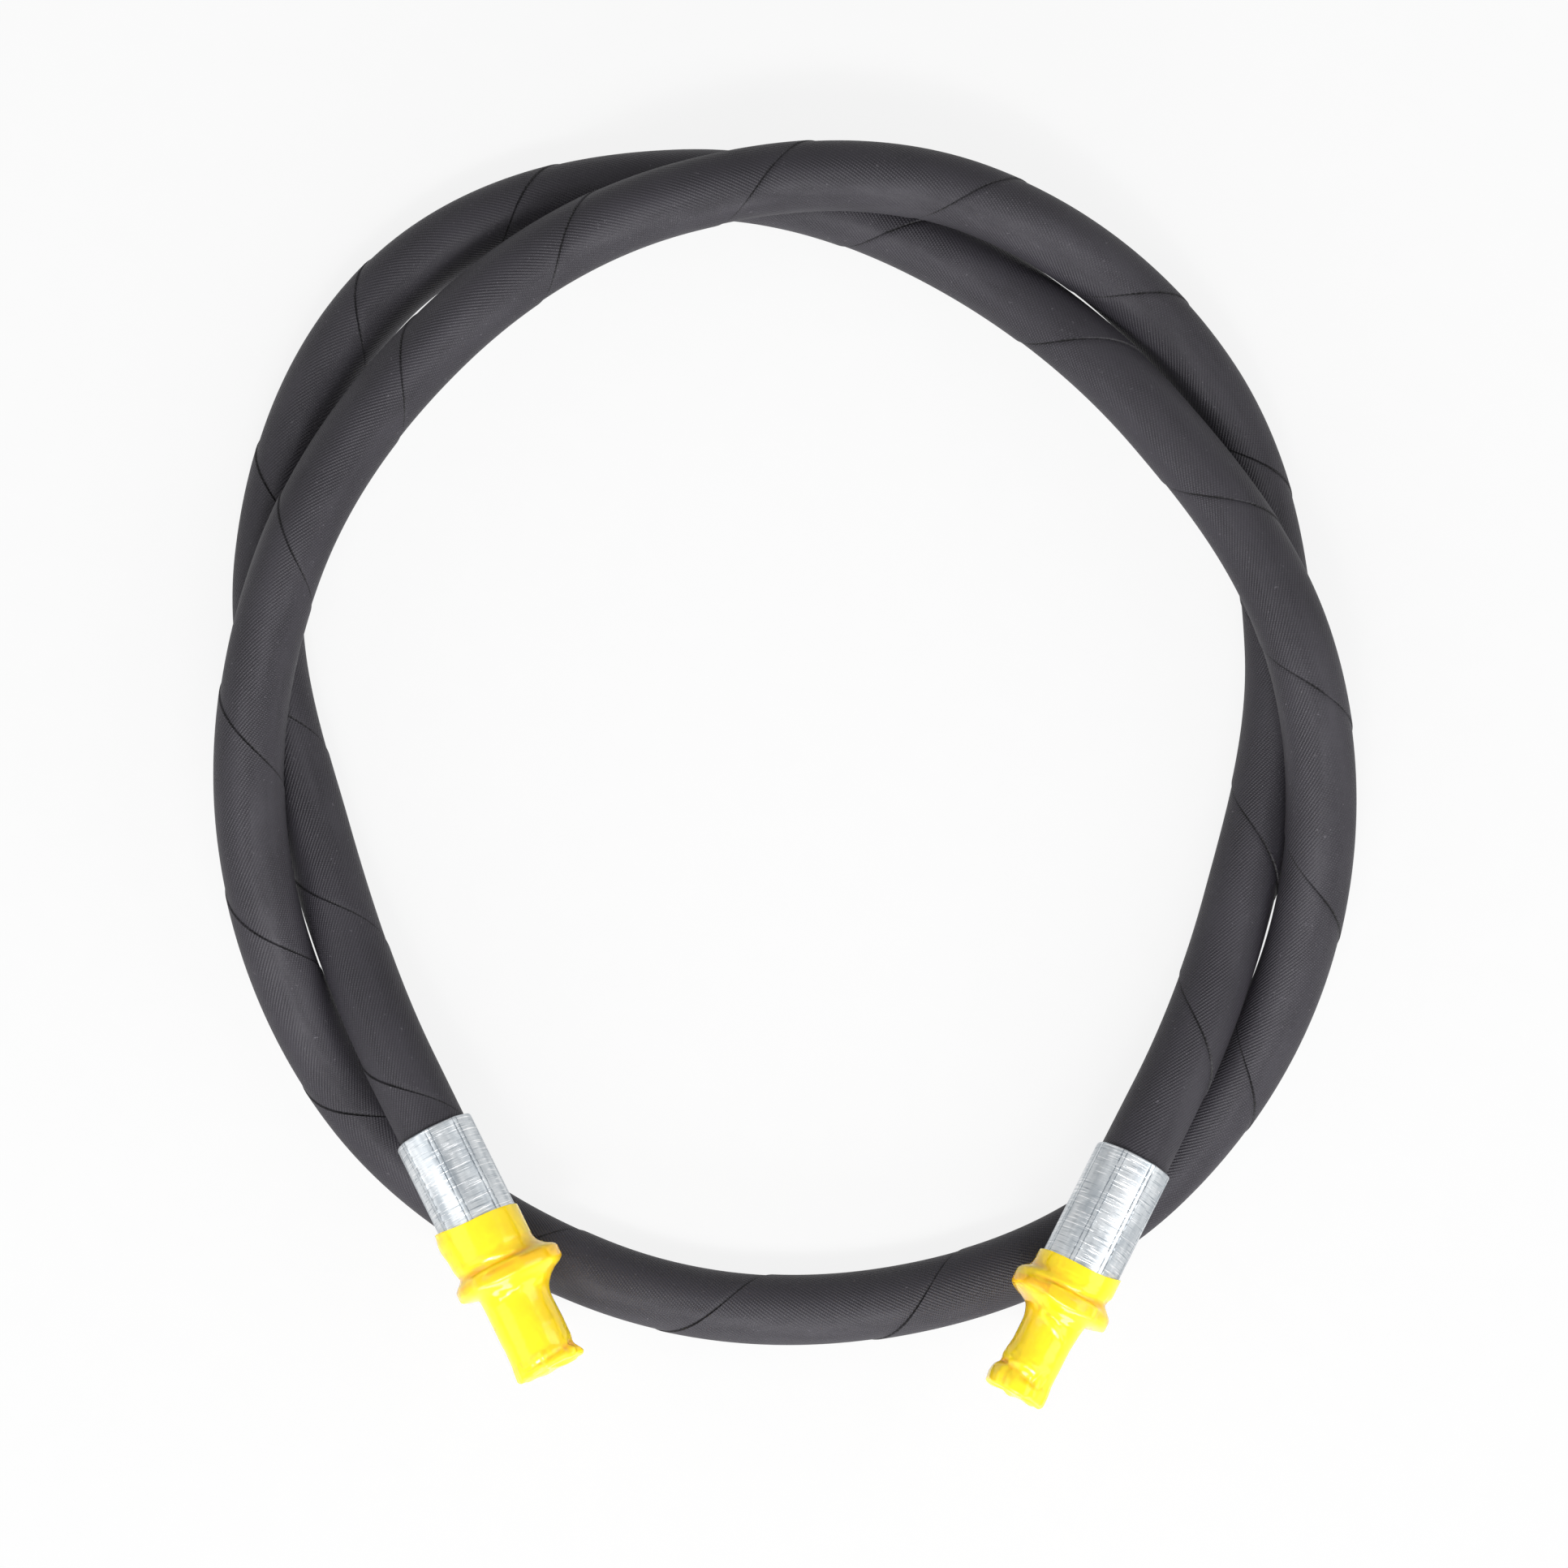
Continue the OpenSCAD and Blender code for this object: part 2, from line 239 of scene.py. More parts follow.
def on_hose(line, at, turn, r):
    """Points at distances at along the hose, turned round its section from sideways to up, r from its middle."""
    s, points, side, up = line
    middle, across, above = (
        np.stack([np.interp(at, s, v[:, k]) for k in range(3)], -1) for v in (points, side, up)
    )
    f = np.radians(turn)
    spot = middle + (r * np.cos(f))[..., None] * across + (r * np.sin(f))[..., None] * above
    # The hose lies flat on the floor where its weight presses it down
    spot[..., 2] = np.maximum(spot[..., 2], 0)
    return spot


# Making of pieces

def add_piece(name, points, faces, corners, finish, body, node, slot, sharp=40):
    """A closed piece that rides on a body in place of its CAD node. Faces have four corners, and a triangle repeats
    one. The corners' map, in mm, is what the finish's pattern follows."""
    a, b, c, d = (points[faces[:, k]] for k in range(4))
    if np.sum(a * (np.cross(b, c) + np.cross(c, d))) < 0:
        faces, corners = faces[:, ::-1], corners[:, ::-1]
    kept = faces != np.roll(faces, 1, axis=1)
    mesh = bpy.data.meshes.new(name)
    mesh.from_pydata((points * MM).tolist(), [], [f[k].tolist() for f, k in zip(faces, kept)])
    layer = mesh.uv_layers.new(name="surface_mm")
    layer.uv.foreach_set("vector", corners[kept].astype(np.float32).ravel())
    mesh.shade_smooth()
    mesh.set_sharp_from_angle(angle=math.radians(sharp))
    piece = bpy.data.objects.new(name, mesh)
    bpy.context.scene.collection.objects.link(piece)
    mesh.materials.append(finish)
    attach(piece, body)
    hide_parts(node)
    return piece


def skin(rows, around, along, closed_by):
    """Points, faces and map over rings of points. The rings close into a wall with a hole through it ("bore"), or each
    end closes on its middle ("middles"). Around and along are the map's values for each ring's points."""
    m, n = rows.shape[:2]
    bore = closed_by == "bore"
    i, j = (v.ravel() for v in np.meshgrid(np.arange(m if bore else m - 1), np.arange(n), indexing="ij"))
    i1, j1 = (i + 1) % m, (j + 1) % n
    faces = np.stack([i * n + j, i * n + j1, i1 * n + j1, i1 * n + j], 1)
    across = np.broadcast_to(around, (m, n))
    span = np.concatenate([across, across[:, :1] + (2 * across[:, -1:] - across[:, -2:-1] - across[:, :1])], 1)
    length = np.broadcast_to(along, (m, n))
    length = np.concatenate([length, length[:, :1]], 1)
    grid = np.stack([span, length], -1)
    corners = np.stack([grid[i, j], grid[i, j + 1], grid[i1, j + 1], grid[i1, j]], 1)
    points = rows.reshape(-1, 3)
    if not bore:
        k = np.arange(n)
        k1 = (k + 1) % n
        last = (m - 1) * n
        first_mid, last_mid = m * n, m * n + 1
        fans = [
            np.stack([k1, k, np.full(n, first_mid), np.full(n, first_mid)], 1),
            np.stack([last + k, last + k1, np.full(n, last_mid), np.full(n, last_mid)], 1),
        ]
        faces = np.concatenate([faces, *fans])
        ends = [np.stack([grid[e, k], grid[e, k + 1], grid[e, k], grid[e, k]], 1) for e in (0, m - 1)]
        corners = np.concatenate([corners, *ends])
        points = np.concatenate([points, rows[:1].mean(1), rows[-1:].mean(1)])
    return points, faces, corners


# Finishes

def add(tree, kind, inputs, **settings):
    """One node with its settings, and its inputs set or linked."""
    made = tree.nodes.new(kind)
    for key, value in settings.items():
        setattr(made, key, value)
    for key, value in inputs.items():
        if isinstance(value, bpy.types.NodeSocket):
            tree.links.new(value, made.inputs[key])
        else:
            made.inputs[key].default_value = value
    return made


def new_finish(name, sockets):
    finish = bpy.data.materials.new(name)
    finish.use_nodes = True
    shader = finish.node_tree.nodes["Principled BSDF"]
    for key, value in sockets.items():
        shader.inputs[key].default_value = value
    return finish, finish.node_tree, shader


def cloth_wrapped_rubber():
    """Black rubber, cured under a wound cloth tape: dull, with the tape's weave pressed into it as close slanting ribs
    that threads cut into beads, painted pale on top and dark between as light and shade, and the tape's edge as a fine
    dark spiral line, painted shade in its groove. Both fade in rubbed streaks, and a few grains of pale dust lie on it."""
    finish, tree, shader = new_finish("cloth_wrapped_rubber", {"IOR": 1.5, "Specular IOR Level": 0.3})
    place = add(tree, "ShaderNodeUVMap", {}, uv_map="surface_mm").outputs[0]

    def slanting(slant, count):
        """Waves across lines at a slant to the hose, count of them round it."""
        round_it = 2 * math.pi * count / ROUND_HOSE
        along_it = -round_it * math.tan(math.radians(slant))
        phase = add(tree, "ShaderNodeVectorMath", {0: place, 1: (along_it, round_it, 0)}, operation="DOT_PRODUCT")
        wave = add(tree, "ShaderNodeMath", {0: phase.outputs["Value"]}, operation="COSINE")
        return add(tree, "ShaderNodeMath", {0: wave.outputs[0], 1: 0.5, 2: 0.5}, operation="MULTIPLY_ADD").outputs[0]

    rib = slanting(RIB_SLANT, RIBS_ROUND)
    bead = add(
        tree, "ShaderNodeMapRange", {"Value": slanting(THREAD_SLANT, THREADS_ROUND), "To Min": 0.45, "To Max": 1.0}
    )
    weave = add(tree, "ShaderNodeMath", {0: rib, 1: bead.outputs[0]}, operation="MULTIPLY")
    # Rubbed streaks some 60 mm long and 15 mm wide, where the print is worn and dusty
    streak = add(tree, "ShaderNodeMapping", {0: place, 3: (0.017, 0.065, 1.0)})
    streak = add(
        tree, "ShaderNodeTexNoise", {"Vector": streak.outputs[0], "Scale": 1.0, "Detail": 3.0, "Roughness": 0.6}
    )
    crisp = add(
        tree, "ShaderNodeMapRange",
        {"Value": streak.outputs[0], "From Min": 0.64, "From Max": 0.42, "To Min": 0.4, "To Max": 1.0},
    )
    weave = add(tree, "ShaderNodeMix", {0: crisp.outputs[0], 2: 0.36, 3: weave.outputs[0]})
    # The tape's edge frays by a thread here and there
    fray = add(tree, "ShaderNodeTexNoise", {"Vector": place, "Scale": 0.45, "Detail": 2.0})
    fray = add(tree, "ShaderNodeMath", {0: fray.outputs[0], 1: 1.4, 2: -0.7}, operation="MULTIPLY_ADD")
    across = add(
        tree, "ShaderNodeVectorMath",
        {0: place, 1: (ROUND_HOSE / TAPE_EDGE, TAPE_LEAD / TAPE_EDGE, 0)}, operation="DOT_PRODUCT",
    )
    near = add(tree, "ShaderNodeMath", {0: across.outputs["Value"], 1: fray.outputs[0]}, operation="ADD")
    near = add(tree, "ShaderNodeMath", {0: near.outputs[0], 1: TAPE_W / 2}, operation="PINGPONG")
    clear = add(tree, "ShaderNodeMapRange", {"Value": near.outputs[0], "From Min": 0.25, "From Max": 0.8})
    filled = add(
        tree, "ShaderNodeMapRange", {"Value": streak.outputs[0], "From Min": 0.42, "From Max": 0.62, "To Max": 0.6}
    )
    clear = add(tree, "ShaderNodeMath", {0: clear.outputs[0], 1: filled.outputs[0]}, operation="MAXIMUM")
    # Wear and dust lie in patches some 60 mm across
    where = add(tree, "ShaderNodeTexCoord", {}).outputs["Object"]
    patch = add(tree, "ShaderNodeTexNoise", {"Vector": where, "Scale": 17.0, "Detail": 4.0})
    speck = add(tree, "ShaderNodeTexNoise", {"Vector": where, "Scale": 900.0, "Detail": 2.0})
    tone = add(tree, "ShaderNodeMath", {0: patch.outputs[0], 1: 0.6, 2: -0.37}, operation="MULTIPLY_ADD")
    tone = add(tree, "ShaderNodeMath", {0: streak.outputs[0], 1: 0.65, 2: tone.outputs[0]}, operation="MULTIPLY_ADD")
    # The weave's ribs are painted pale on top and dark between: painted light and shade
    tone = add(tree, "ShaderNodeMath", {0: weave.outputs[0], 1: 0.62, 2: tone.outputs[0]}, operation="MULTIPLY_ADD")
    rubber = add(
        tree, "ShaderNodeMix", {0: tone.outputs[0], 6: linear("#201e23"), 7: linear("#3b393f")}, data_type="RGBA"
    )
    # Pale dust in grains of about 1 mm
    dust = add(tree, "ShaderNodeTexNoise", {"Vector": where, "Scale": 520.0, "Detail": 1.0})
    dust = add(
        tree, "ShaderNodeMapRange", {"Value": dust.outputs[0], "From Min": 0.71, "From Max": 0.82, "To Max": 0.5}
    )
    rubber = add(
        tree, "ShaderNodeMix", {0: dust.outputs[0], 6: rubber.outputs[2], 7: linear("#656268")}, data_type="RGBA"
    )
    # The tape's edge is painted near black: painted shade in its groove
    edged = add(
        tree, "ShaderNodeMix", {0: clear.outputs[0], 6: linear("#121113"), 7: rubber.outputs[2]}, data_type="RGBA"
    )
    tree.links.new(edged.outputs[2], shader.inputs["Base Color"])
    dull = add(tree, "ShaderNodeMapRange", {"Value": patch.outputs[0], "To Min": 0.62, "To Max": 0.5})
    tree.links.new(dull.outputs[0], shader.inputs["Roughness"])
    height = add(tree, "ShaderNodeMath", {0: speck.outputs[0], 1: 0.25, 2: weave.outputs[0]}, operation="MULTIPLY_ADD")
    bump = add(tree, "ShaderNodeBump", {"Height": height.outputs[0], "Strength": 1.0, "Distance": 0.00035})
    tree.links.new(bump.outputs[0], shader.inputs["Normal"])
    return finish


def plain_rubber(name, low, high, roughness):
    """Rubber that was rolled or pressed out smooth: even and dark, with a faint cloudiness."""
    finish, tree, shader = new_finish(name, {"IOR": 1.5, "Roughness": roughness})
    where = add(tree, "ShaderNodeTexCoord", {}).outputs["Object"]
    cloud = add(tree, "ShaderNodeTexNoise", {"Vector": where, "Scale": 60.0, "Detail": 3.0})
    rubber = add(tree, "ShaderNodeMix", {0: cloud.outputs[0], 6: linear(low), 7: linear(high)}, data_type="RGBA")
    tree.links.new(rubber.outputs[2], shader.inputs["Base Color"])
    bump = add(tree, "ShaderNodeBump", {"Height": cloud.outputs[0], "Strength": 0.2, "Distance": 0.0002})
    tree.links.new(bump.outputs[0], shader.inputs["Normal"])
    return finish


def braided_steel_wire():
    """Bright drawn steel wire, braided in two directions: narrow slanting bands of parallel wires that cross."""
    finish, tree, shader = new_finish("braided_steel_wire", {"Metallic": 1.0, "Roughness": 0.35})
    place = add(tree, "ShaderNodeUVMap", {}, uv_map="surface_mm").outputs[0]
    split = add(tree, "ShaderNodeSeparateXYZ", {0: place}).outputs
    # Bands of wires about 6 mm wide, 7.4 mm apart along the hose, at 54 degrees to it
    bands = []
    for slant in (0.73, -0.73):
        band = add(tree, "ShaderNodeMath", {0: split[0], 1: slant, 2: split[1]}, operation="MULTIPLY_ADD")
        band = add(tree, "ShaderNodeMath", {0: band.outputs[0], 1: 2 * math.pi / 7.4}, operation="MULTIPLY")
        bands.append(add(tree, "ShaderNodeMath", {0: band.outputs[0]}, operation="SINE").outputs[0])
    cross = add(tree, "ShaderNodeMath", {0: bands[0], 1: bands[1]}, operation="MULTIPLY")
    over = add(tree, "ShaderNodeMapRange", {"Value": cross.outputs[0], "From Min": -1.0, "From Max": 1.0})
    wire = add(
        tree, "ShaderNodeMix", {0: over.outputs[0], 6: linear("#7d8184"), 7: linear("#c9ccce")}, data_type="RGBA"
    )
    tree.links.new(wire.outputs[2], shader.inputs["Base Color"])
    bump = add(tree, "ShaderNodeBump", {"Height": over.outputs[0], "Strength": 0.6, "Distance": 0.0003})
    tree.links.new(bump.outputs[0], shader.inputs["Normal"])
    return finish


def zinc_plated_crimped_steel():
    """Turned steel, zinc plated and then crimped: bright grey, with the lathe's fine rings, short scratches round it
    where the jaws slid, painted bright and dark as glints and dark reflections, painted reflection bands along it, and
    two broken dark lines of painted shade in the grooves between jaws."""
    finish, tree, shader = new_finish("zinc_plated_crimped_steel", {"Metallic": 1.0})
    place = add(tree, "ShaderNodeUVMap", {}, uv_map="surface_mm").outputs[0]
    split = add(tree, "ShaderNodeSeparateXYZ", {0: place}).outputs
    # Turning rings 0.5 mm apart that run some 50 mm round; scratches 0.8 mm apart and 16 mm long; painted reflection
    # bands 8 mm wide and 50 mm long. The rings are drawn about twice as coarse as real ones, to show.
    ring = add(tree, "ShaderNodeMapping", {0: place, 3: (0.02, 2.0, 1.0)})
    ring = add(tree, "ShaderNodeTexNoise", {"Vector": ring.outputs[0], "Scale": 1.0, "Detail": 3.0})
    scratch = add(tree, "ShaderNodeMapping", {0: place, 3: (0.06, 1.2, 1.0)})
    scratch = add(
        tree, "ShaderNodeTexNoise", {"Vector": scratch.outputs[0], "Scale": 1.0, "Detail": 3.0, "Roughness": 0.6}
    )
    # The scratches are real marks; their near-white and darker tones are painted glints and painted dark reflections
    bright = add(tree, "ShaderNodeMapRange", {"Value": scratch.outputs[0], "From Min": 0.57, "From Max": 0.68})
    dark = add(tree, "ShaderNodeMapRange", {"Value": scratch.outputs[0], "From Min": 0.43, "From Max": 0.32})
    # Painted reflection bands along the ferrule: its zinc painted lighter and darker
    painted_reflection_band = add(tree, "ShaderNodeMapping", {0: place, 3: (0.12, 0.02, 1.0)})
    painted_reflection_band = add(tree, "ShaderNodeTexNoise", {"Vector": painted_reflection_band.outputs[0], "Scale": 1.0, "Detail": 2.0})
    tone = add(tree, "ShaderNodeMapRange", {"Value": painted_reflection_band.outputs[0], "From Min": 0.32, "From Max": 0.6})
    zinc = add(
        tree, "ShaderNodeMix", {0: tone.outputs[0], 6: linear("#a6adb3"), 7: linear("#d6dadd")}, data_type="RGBA"
    )
    zinc = add(tree, "ShaderNodeMix", {0: dark.outputs[0], 6: zinc.outputs[2], 7: linear("#959da4")}, data_type="RGBA")
    zinc = add(
        tree, "ShaderNodeMix", {0: bright.outputs[0], 6: zinc.outputs[2], 7: linear("#fdfdfe")}, data_type="RGBA"
    )
    # Lines where two jaws met, broken by their chatter every 2 mm or so, painted dark as shade in their grooves
    chatter = add(tree, "ShaderNodeMapping", {0: place, 3: (0.3, 0.5, 1.0)})
    chatter = add(tree, "ShaderNodeTexNoise", {"Vector": chatter.outputs[0], "Scale": 1.0, "Detail": 2.0})
    width = add(
        tree, "ShaderNodeMapRange",
        {"Value": chatter.outputs[0], "From Min": 0.35, "From Max": 0.65, "To Min": 0.08, "To Max": 0.45},
    )
    strip = add(tree, "ShaderNodeMath", {0: split[0], 1: math.pi * FERRULE_R / JAWS}, operation="PINGPONG")
    line = add(
        tree, "ShaderNodeMath", {0: strip.outputs[0], 1: JAW_STRIP_W / 2, 2: width.outputs[0]}, operation="COMPARE"
    )
    faint = add(tree, "ShaderNodeMath", {0: line.outputs[0], 1: 0.7}, operation="MULTIPLY")
    zinc = add(tree, "ShaderNodeMix", {0: faint.outputs[0], 6: zinc.outputs[2], 7: linear("#757f88")}, data_type="RGBA")
    tree.links.new(zinc.outputs[2], shader.inputs["Base Color"])
    rough = add(tree, "ShaderNodeMapRange", {"Value": ring.outputs[0], "To Min": 0.5, "To Max": 0.3})
    tree.links.new(rough.outputs[0], shader.inputs["Roughness"])
    height = add(tree, "ShaderNodeMath", {0: ring.outputs[0], 1: 0.8, 2: bright.outputs[0]}, operation="MULTIPLY_ADD")
    bump = add(tree, "ShaderNodeBump", {"Height": height.outputs[0], "Strength": 0.5, "Distance": 0.00015})
    tree.links.new(bump.outputs[0], shader.inputs["Normal"])
    return finish


def zinc_plated_turned_steel():
    """Steel turned on a lathe and zinc plated: bright, with fine even tool rings and a light haze."""
    finish, tree, shader = new_finish("zinc_plated_turned_steel", {"Metallic": 1.0})
    place = add(tree, "ShaderNodeUVMap", {}, uv_map="surface_mm").outputs[0]
    # Tool rings 0.4 mm apart, nearly whole round the piece
    ring = add(tree, "ShaderNodeMapping", {0: place, 3: (0.02, 2.5, 1.0)})
    ring = add(tree, "ShaderNodeTexNoise", {"Vector": ring.outputs[0], "Scale": 1.0, "Detail": 3.0})
    zinc = add(
        tree, "ShaderNodeMix", {0: ring.outputs[0], 6: linear("#9da5ac"), 7: linear("#dde1e4")}, data_type="RGBA"
    )
    tree.links.new(zinc.outputs[2], shader.inputs["Base Color"])
    rough = add(tree, "ShaderNodeMapRange", {"Value": ring.outputs[0], "To Min": 0.4, "To Max": 0.24})
    tree.links.new(rough.outputs[0], shader.inputs["Roughness"])
    bump = add(tree, "ShaderNodeBump", {"Height": ring.outputs[0], "Strength": 0.4, "Distance": 0.0001})
    tree.links.new(bump.outputs[0], shader.inputs["Normal"])
    return finish


def shrunk_vinyl_film():
    """Soft yellow vinyl, shrunk on by heat: glossy and a little see-through, so light bleeds into its edges, with
    deeper orange painted in as shade in creases, and as shade and thicker film over the hexagon, and a slight
    orange-peel ripple."""
    sockets = {
        "IOR": 1.53, "Subsurface Weight": 0.9, "Subsurface Radius": (1.0, 0.7, 0.2), "Subsurface Scale": 0.008,
    }
    finish, tree, shader = new_finish("shrunk_vinyl_film", sockets)
    shader.subsurface_method = "BURLEY"
    where = add(tree, "ShaderNodeTexCoord", {}).outputs["Object"]
    # Thick and thin places some 20 mm across, and a ripple of about 3 mm
    cloud = add(tree, "ShaderNodeTexNoise", {"Vector": where, "Scale": 50.0, "Detail": 2.0})
    ripple = add(tree, "ShaderNodeTexNoise", {"Vector": where, "Scale": 330.0, "Detail": 2.0})
    # Painted shade: deeper orange in creases and over the hexagon, read from the cap's mesh
    painted_shade = add(tree, "ShaderNodeAttribute", {}, attribute_name="film_painted_shade").outputs["Fac"]
    thickness_and_shade = add(
        tree, "ShaderNodeMapRange",
        {"Value": cloud.outputs[0], "From Min": 0.3, "From Max": 0.75, "To Min": -0.05, "To Max": 0.2},
    )
    thickness_and_shade = add(tree, "ShaderNodeMath", {0: thickness_and_shade.outputs[0], 1: painted_shade}, operation="ADD", use_clamp=True)
    vinyl = add(
        tree, "ShaderNodeMix", {0: thickness_and_shade.outputs[0], 6: linear("#ffde15"), 7: linear("#ffb010")}, data_type="RGBA"
    )
    tree.links.new(vinyl.outputs[2], shader.inputs["Base Color"])
    gloss = add(tree, "ShaderNodeMapRange", {"Value": ripple.outputs[0], "To Min": 0.08, "To Max": 0.2})
    tree.links.new(gloss.outputs[0], shader.inputs["Roughness"])
    bump = add(tree, "ShaderNodeBump", {"Height": ripple.outputs[0], "Strength": 0.15, "Distance": 0.0005})
    tree.links.new(bump.outputs[0], shader.inputs["Normal"])
    return finish


COVER_RUBBER = cloth_wrapped_rubber()
PLY_RUBBER = plain_rubber("calendered_rubber", "#1d1c1e", "#2a292b", 0.6)
TUBE_RUBBER = plain_rubber("extruded_nitrile_rubber", "#161617", "#212123", 0.4)
BRAID_WIRE = braided_steel_wire()
FERRULE_ZINC = zinc_plated_crimped_steel()
STEM_ZINC = zinc_plated_turned_steel()
CAP_VINYL = shrunk_vinyl_film()


# Hose

def wrapped_cover():
    """The cover's mesh follows the tape: its rows run along the tape's edge, spiralling round the hose, with close rows
    at the edge for the small step there."""
    columns = 96
    line = hose_line(COVER_TUCK)
    s = line[0]
    wound = s - np.interp(s, TAPE_DRIFT_AT, TAPE_DRIFT)
    turn = np.arange(columns + 1) * 360 / columns - 90
    round_from_edge = turn - TAPE_START
    lead_rows = np.concatenate([[0, GROOVE_W], np.linspace(5, TAPE_LEAD - 5, 21), [TAPE_LEAD - GROOVE_W]])
    lead_r = np.concatenate([[HOSE_R - GROOVE_D], np.linspace(HOSE_R + RISE_FROM, HOSE_R + RISE_TO, 23)])
    per_lead = len(lead_rows)

    def cover_r(w):
        return np.interp(w % TAPE_LEAD, [*lead_rows, TAPE_LEAD], [*lead_r, lead_r[0]])

    first = math.floor(wound[0] / TAPE_LEAD + round_from_edge[0] / 360) - 1
    last = math.ceil(wound[-1] / TAPE_LEAD + round_from_edge[-1] / 360) + 2
    w = (np.arange(first, last)[:, None] * TAPE_LEAD + lead_rows).ravel()
    rows = len(w)
    wanted = w[:, None] - TAPE_LEAD * round_from_edge / 360
    at = np.interp(wanted, wound, s)
    inside = (wanted > wound[0]) & (wanted < wound[-1])

    # Rows that would run past an end of the hose share that end's ring of points
    ids = np.zeros((rows, columns + 1), int)
    body = inside[:, :columns]
    count = int(body.sum())
    ring = np.arange(columns)
    ids[:, :columns] = np.where(wanted[:, :columns] <= wound[0], count + ring, count + columns + ring)
    ids[:, :columns][body] = np.arange(count)
    ids[per_lead:, columns] = ids[:-per_lead, 0]
    ids[:per_lead, columns] = count
    r = np.broadcast_to(cover_r(w)[:, None], at.shape)
    body_turn = np.broadcast_to(turn[:columns], body.shape)
    spots = [on_hose(line, at[:, :columns][body], body_turn[body], r[:, :columns][body])]
    for end in (0, -1):
        end_w = wound[end] + TAPE_LEAD * round_from_edge[:columns] / 360
        spots.append(on_hose(line, np.full(columns, s[end]), turn[:columns], cover_r(end_w)))
    steps = np.linspace(0, s[-1], 210)
    inner_at = np.repeat(steps[:, None], columns, 1)
    inner_r = np.full(inner_at.shape, HOSE_LAYERS["cover"][0])
    inner = on_hose(line, inner_at, np.broadcast_to(turn[:columns], inner_at.shape), inner_r)
    spots.append(inner.reshape(-1, 3))
    points = np.concatenate(spots)

    k, j = (v.ravel() for v in np.meshgrid(np.arange(rows - 1), ring, indexing="ij"))
    faces = np.stack([ids[k, j], ids[k, j + 1], ids[k + 1, j + 1], ids[k + 1, j]], 1)
    held = np.interp(at, s, wound)
    grid = np.stack([held, np.broadcast_to(HOSE_R * np.radians(round_from_edge), held.shape)], -1)
    corners = np.stack([grid[k, j], grid[k, j + 1], grid[k + 1, j + 1], grid[k + 1, j]], 1)
    different = np.array([len(set(f)) > 2 for f in faces.tolist()])
    faces, corners = faces[different], corners[different]

    start = count + 2 * columns
    i, j = (v.ravel() for v in np.meshgrid(np.arange(len(steps) - 1), ring, indexing="ij"))
    j1 = (j + 1) % columns
    lining = start + np.stack([i * columns + j1, i * columns + j, (i + 1) * columns + j, (i + 1) * columns + j1], 1)
    end_start = start + (len(steps) - 1) * columns
    ring1 = (ring + 1) % columns
    rims = [
        np.stack([count + ring1, count + ring, start + ring, start + ring1], 1),
        np.stack([count + columns + ring, count + columns + ring1, end_start + ring1, end_start + ring], 1),
    ]
    faces = np.concatenate([faces, lining, *rims])
    plain = np.tile([TAPE_LEAD / 2, 0.0], (len(faces) - len(corners), 4, 1))
    return points, faces, np.concatenate([corners, plain])


def hose_layer(name, finish, layer, node, slot):
    """A layer inside the cover, as long as the hose was cut."""
    r_in, r_out = HOSE_LAYERS[layer]
    columns, rings = 48, 380
    line = hose_line(HOSE_END)
    steps = np.linspace(0, line[0][-1], rings)
    turn = np.arange(columns) * 360 / columns
    at = np.concatenate([steps, steps[::-1]])
    r = np.repeat([r_out, r_in], rings)
    shape = (len(at), columns)
    rows = on_hose(
        line, np.broadcast_to(at[:, None], shape), np.broadcast_to(turn, shape), np.broadcast_to(r[:, None], shape)
    )
    points, faces, corners = skin(rows, np.radians(turn) * r_out, at[:, None], "bore")
    return add_piece(name, points, faces, corners, finish, "hose", node, slot)


cover = add_piece("wrapped_cover", *wrapped_cover(), COVER_RUBBER, "hose", "hose_cover", "cover_rubber")
layers = [
    hose_layer("outer_braid_wires", BRAID_WIRE, "outer_braid", "outer_wire_braid", "braid_steel"),
    hose_layer("ply_between_braids", PLY_RUBBER, "ply", "braid_ply", "ply_rubber"),
    hose_layer("inner_braid_wires", BRAID_WIRE, "inner_braid", "inner_wire_braid", "braid_steel"),
    hose_layer("lining_tube", TUBE_RUBBER, "tube", "inner_tube", "tube_rubber"),
]


# Fittings

def fitting(mouth, out, roll):
    """Where a fitting stands: its mouth, its sideways and upward axes after its roll, and outwards."""
    side = unit(np.cross(UP, out))
    above = np.cross(out, side)
    c, s = math.cos(math.radians(roll)), math.sin(math.radians(roll))
    return mouth, c * side + s * above, c * above - s * side, out


def on_fitting(fit, r, turn, u):
    mouth, side, above, out = fit
    f = np.radians(turn)
    return mouth + (r * np.cos(f))[..., None] * side + (r * np.sin(f))[..., None] * above + u[..., None] * out


